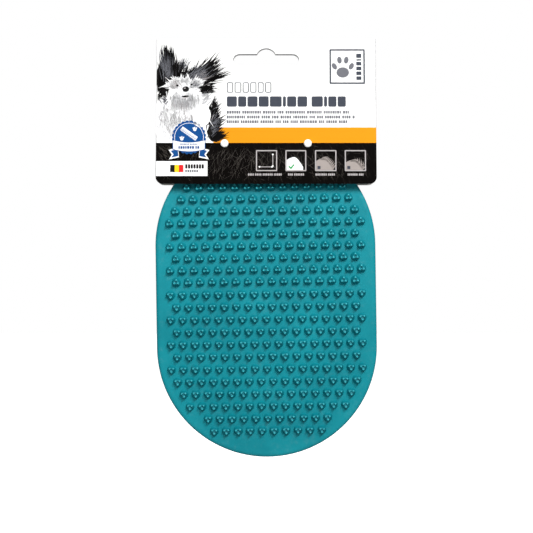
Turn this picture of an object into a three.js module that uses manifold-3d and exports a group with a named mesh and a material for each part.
// A rubber grooming mitt pinned to the folded header card that it hangs from.
// Millimetres, +Z up, the nubs face -Y. The origin is the top of the card's hang slot,
// where a display peg bears.

import * as THREE from 'three';
import { ConvexGeometry } from 'three/addons/geometries/ConvexGeometry.js';
import { mergeGeometries, mergeVertices } from 'three/addons/utils/BufferGeometryUtils.js';
import Module from 'manifold-3d';

const wasm = await Module();
wasm.setup();

// Clearance kept between pieces that rest on or pass through each other.
const gap = 0.3;

// Rubber pad: a stadium outline with half-round ends.
const padWidth = 130;
const padLength = 190;
const padThickness = 3;
const padEdgeRound = 0.9;
const padCentreZ = -146;
const mittTilt = THREE.MathUtils.degToRad(0.85); // the mitt hangs slightly askew on its fasteners

// Nubs: staggered rows, each nub a stout stud that ends in three blunt points.
const nubPitch = 7.04;
// The rows above the middle sit a little closer than those below, with a wider step between the two halves.
const nubRowsAbove = { start: 2.01, pitch: 6.95 };
const nubRowsBelow = { start: 1.4, pitch: 7.31 };
const nubRowsEachWay = 11;
const nubFieldRadius = 58.8;
const nubFieldHalfWidth = 57;
const nubBaseRadius = 2.6;
const nubTopRadius = 1.7;
const nubHeight = 3.5;

// Hand strap: a wide band that arches over the back of the hand.
const strapWidth = 44.5;
const strapCentreZ = -151;
const strapThickness = 2.2;
const strapHeight = 22;
const strapFlatHalf = 36;
const strapOverhang = 0.8;
const strapFoot = 9;

// Header card: one sheet folded over at the top, so two panels that lean apart.
const cardWidth = 129.2;
const cardHeight = 85.2;
const cardThickness = 0.45;
const cardCorner = 4;
const foldZ = 5;
const foldRoom = 0.15;

// Hang slot through both panels.
const slotHalfWidth = 19.4;
const slotTop = -3.5;
const slotBottom = -10.9;
const humpRadius = 6;

// Snap fasteners.
const fastenerX = 24.4;
const fastenerZ = -56.4;
const headRadius = 2.3;
const headHeight = 0.95;
const dimpleRadius = 1.1;
const shankRadius = 0.8;
const barbRadius = 1;
const studHoleRadius = 1.35;
const capBoreRadius = 1.6;
const capBarrelRadius = 2.5;
const capFlangeRadius = 3.3;
const capFlangeHeight = 0.8;
const capDepth = 4.4;
const studReach = 3.2; // how far the shank stands out behind the back panel

const arcSteps = 16;
const roundSides = 12;

// Planes that the pieces share.
const padFront = -padThickness / 2;
const padBack = padThickness / 2;
const strapSeat = padBack + gap;
const endArcCentre = (padLength - padWidth) / 2;
const topRowZ = padCentreZ + nubRowsAbove.start + nubRowsAbove.pitch * nubRowsEachWay;
const cardDepthAtNubs = foldZ - topRowZ - nubTopRadius;
const cardDepthAtPad = -(padCentreZ + padLength / 2) + foldZ;
const frontLean = Math.atan((nubHeight - padFront + gap) / cardDepthAtNubs);
const backLean = Math.atan((padBack + gap) / cardDepthAtPad);
const fastenerDepth = foldZ - fastenerZ;
const sides = { left: -1, right: 1 };

function solidFrom(geometry) {
  const bare = geometry.clone();
  bare.deleteAttribute('normal');
  bare.deleteAttribute('uv');
  const merged = mergeVertices(bare, 1e-4);
  return new wasm.Manifold(new wasm.Mesh({
    numProp: 3,
    vertProperties: Float32Array.from(merged.attributes.position.array),
    triVerts: Uint32Array.from(merged.index.array),
  }));
}

function geometryFrom(solid) {
  const mesh = solid.getMesh();
  const geometry = new THREE.BufferGeometry();
  geometry.setAttribute('position', new THREE.BufferAttribute(mesh.vertProperties, 3));
  geometry.setIndex(new THREE.BufferAttribute(mesh.triVerts, 1));
  geometry.computeVertexNormals();
  return geometry;
}

// A shape drawn in X and Z, extruded towards -Y from the plane y = 0.
function extrudeTowardsFront(shape, options) {
  const geometry = new THREE.ExtrudeGeometry(shape, { curveSegments: arcSteps, ...options });
  return geometry.rotateX(Math.PI / 2);
}

function placeOnMitt(geometry) {
  return geometry.rotateY(-mittTilt).translate(0, 0, padCentreZ);
}

function padPlate() {
  const radius = padWidth / 2;
  const outline = new THREE.Shape();
  outline.absarc(0, endArcCentre, radius, 0, Math.PI);
  outline.absarc(0, -endArcCentre, radius, Math.PI, 2 * Math.PI);
  const plate = extrudeTowardsFront(outline, {
    depth: padThickness - 2 * padEdgeRound,
    bevelThickness: padEdgeRound,
    bevelSize: padEdgeRound,
    bevelOffset: -padEdgeRound,
    bevelSegments: 2,
  });
  return plate.translate(0, padBack - padEdgeRound, 0);
}

// A six-sided base that tapers to three points. turn is +1 with one point up, -1 with one point down.
// The root is the straight length inside the pad that joins the two.
function nub(x, z, turn) {
  const root = 0.6;
  const ring = (radius, y, count) => Array.from({ length: count }, (_, i) => {
    const angle = turn * Math.PI / 2 + i * 2 * Math.PI / count;
    return new THREE.Vector3(x + radius * Math.cos(angle), y, z + radius * Math.sin(angle));
  });
  return new ConvexGeometry([
    ...ring(nubBaseRadius, padFront + root, 6),
    ...ring(nubBaseRadius, padFront, 6),
    ...ring(nubTopRadius, padFront - nubHeight, 3),
  ]);
}

function rowHeight(row) {
  const half = row > 0 ? nubRowsAbove : nubRowsBelow;
  return half.start + row * half.pitch;
}

// Nub centres fill the outline up to a plain margin, and every other row is offset by half a pitch.
function nubCentres() {
  const centres = [];
  for (let row = -nubRowsEachWay; row <= nubRowsEachWay; row += 1) {
    const z = rowHeight(row);
    const pastStraight = Math.max(0, Math.abs(z) - endArcCentre);
    const offset = row % 2 === 0 ? 0 : nubPitch / 2;
    for (let x = offset - 9 * nubPitch; x <= nubFieldHalfWidth; x += nubPitch) {
      const inside = Math.hypot(x, pastStraight) <= nubFieldRadius;
      if (inside && Math.abs(x) <= nubFieldHalfWidth) {
        centres.push({ x, z, turn: row > 0 ? 1 : -1 });
      }
    }
  }
  return centres;
}

function nubPad() {
  const nubs = mergeGeometries(nubCentres().map(({ x, z, turn }) => nub(x, z, turn)));
  const moulded = placeOnMitt(geometryFrom(solidFrom(padPlate()).add(solidFrom(nubs))));
  let drilled = solidFrom(moulded);
  for (const side of Object.values(sides)) {
    const hole = new THREE.CylinderGeometry(studHoleRadius, studHoleRadius, 4 * padThickness, 10);
    hole.translate(side * fastenerX, 0, fastenerZ);
    drilled = drilled.subtract(solidFrom(hole));
  }
  return geometryFrom(drilled);
}

// The strap's section in X and Y, foot to foot, carried along Z.
function handStrap() {
  const outer = padWidth / 2 + strapOverhang;
  const inner = outer - strapThickness;
  const top = strapSeat + strapHeight;
  const ceiling = top - strapThickness;
  const footTop = strapSeat + strapThickness;
  const footEnd = inner - strapFoot;
  const shoulder = strapHeight * 0.55;
  const section = new THREE.Shape();
  section.moveTo(-footEnd, strapSeat);
  section.lineTo(-outer + 1, strapSeat);
  section.bezierCurveTo(-outer - 0.6, strapSeat + shoulder, -outer + 12, top, -strapFlatHalf, top);
  section.lineTo(strapFlatHalf, top);
  section.bezierCurveTo(outer - 12, top, outer + 0.6, strapSeat + shoulder, outer - 1, strapSeat);
  section.lineTo(footEnd, strapSeat);
  section.lineTo(footEnd, footTop);
  section.lineTo(inner - 2, footTop);
  section.bezierCurveTo(inner - 1, footTop + shoulder - 2, inner - 11, ceiling, strapFlatHalf, ceiling);
  section.lineTo(-strapFlatHalf, ceiling);
  section.bezierCurveTo(-inner + 11, ceiling, -inner + 1, footTop + shoulder - 2, -inner + 2, footTop);
  section.lineTo(-footEnd, footTop);
  const band = new THREE.ExtrudeGeometry(section, {
    depth: strapWidth, curveSegments: arcSteps, bevelEnabled: false,
  });
  return placeOnMitt(band.translate(0, 0, strapCentreZ - padCentreZ - strapWidth / 2));
}

function hangSlot() {
  const round = (slotTop - slotBottom) / 2;
  const middle = (slotTop + slotBottom) / 2 - foldZ;
  const top = slotTop - foldZ;
  const humpCentre = -humpRadius - foldZ;
  const humpStart = Math.asin((top - humpCentre) / humpRadius);
  const path = new THREE.Path();
  path.moveTo(slotHalfWidth - round, top);
  path.absarc(slotHalfWidth - round, middle, round, Math.PI / 2, -Math.PI / 2, true);
  path.absarc(-slotHalfWidth + round, middle, round, -Math.PI / 2, Math.PI / 2, true);
  path.absarc(0, humpCentre, humpRadius, Math.PI - humpStart, humpStart, true);
  return path;
}

// One panel, drawn with the fold along z = 0 and the sheet hanging below it.
function panelOutline(lean, holeRadius) {
  const half = cardWidth / 2;
  const bottom = -cardHeight / Math.cos(lean);
  const outline = new THREE.Shape();
  outline.moveTo(-half, -foldRoom);
  outline.lineTo(-half, bottom + cardCorner);
  outline.absarc(-half + cardCorner, bottom + cardCorner, cardCorner, Math.PI, 1.5 * Math.PI);
  outline.absarc(half - cardCorner, bottom + cardCorner, cardCorner, 1.5 * Math.PI, 2 * Math.PI);
  outline.lineTo(half, -foldRoom);
  outline.holes.push(hangSlot());
  for (const side of Object.values(sides)) {
    const hole = new THREE.Path();
    const alongPanel = fastenerDepth / Math.cos(lean);
    hole.absarc(side * fastenerX, -alongPanel, holeRadius, 0, 2 * Math.PI, true);
    outline.holes.push(hole);
  }
  return outline;
}

// direction is -1 for the front panel and +1 for the back one.
function cardPanel(direction, lean, holeRadius) {
  const sheet = extrudeTowardsFront(panelOutline(lean, holeRadius), {
    depth: cardThickness, bevelEnabled: false, curveSegments: 4,
  });
  const innerFace = direction * gap / 2;
  sheet.translate(0, direction < 0 ? innerFace : innerFace + cardThickness, 0);
  return sheet.rotateX(direction * lean).translate(0, 0, foldZ);
}

// Where the outer face of a leaning panel is at the fasteners' height.
function panelFaceY(direction, lean) {
  const thickness = cardThickness / Math.cos(lean);
  return direction * (gap / 2 + thickness + fastenerDepth * Math.tan(lean));
}

function lathe(profile) {
  const points = profile.map(([radius, y]) => new THREE.Vector2(radius, y));
  return new THREE.LatheGeometry(points, roundSides);
}

function fastenerStud(side) {
  const seat = panelFaceY(-1, frontLean) - gap;
  const face = seat - headHeight;
  const tip = panelFaceY(1, backLean) + studReach;
  const stud = lathe([
    [0, face + 0.35],
    [dimpleRadius - 0.2, face + 0.35],
    [dimpleRadius, face],
    [headRadius - 0.35, face + 0.1],
    [headRadius, face + 0.5],
    [headRadius, seat],
    [shankRadius, seat],
    [shankRadius, tip - 1.3],
    [barbRadius, tip - 1.1],
    [shankRadius * 0.6, tip],
    [0, tip],
  ]);
  return stud.translate(side * fastenerX, 0, fastenerZ);
}

function fastenerCap(side) {
  const mouth = panelFaceY(1, backLean) + gap;
  const end = mouth + capDepth;
  const floor = mouth + studReach + gap;
  const cap = lathe([
    [0, floor],
    [capBoreRadius, floor],
    [capBoreRadius, mouth],
    [capFlangeRadius, mouth],
    [capFlangeRadius, mouth + capFlangeHeight],
    [capBarrelRadius, mouth + capFlangeHeight + 0.2],
    [capBarrelRadius, end - 0.7],
    [capBarrelRadius - 0.7, end],
    [0, end],
  ]);
  return cap.translate(side * fastenerX, 0, fastenerZ);
}

const rubber = { color: 0x23909f, roughness: 0.55, metalness: 0 };
const card = { color: 0xf4f4f2, roughness: 0.6, metalness: 0 };
const plastic = { color: 0xf2f2f0, roughness: 0.35, metalness: 0 };

function named(name, geometry, finish) {
  const mesh = new THREE.Mesh(geometry, new THREE.MeshStandardMaterial(finish));
  mesh.name = name;
  return mesh;
}

const mittOnCard = new THREE.Group();
mittOnCard.add(named('nub_pad', nubPad(), rubber));
mittOnCard.add(named('hand_strap', handStrap(), rubber));
mittOnCard.add(named('card_front_panel', cardPanel(-1, frontLean, studHoleRadius), card));
mittOnCard.add(named('card_back_panel', cardPanel(1, backLean, capBoreRadius), card));
for (const [side, direction] of Object.entries(sides)) {
  mittOnCard.add(named(`fastener_stud_${side}`, fastenerStud(direction), plastic));
  mittOnCard.add(named(`fastener_cap_${side}`, fastenerCap(direction), plastic));
}

export default mittOnCard;
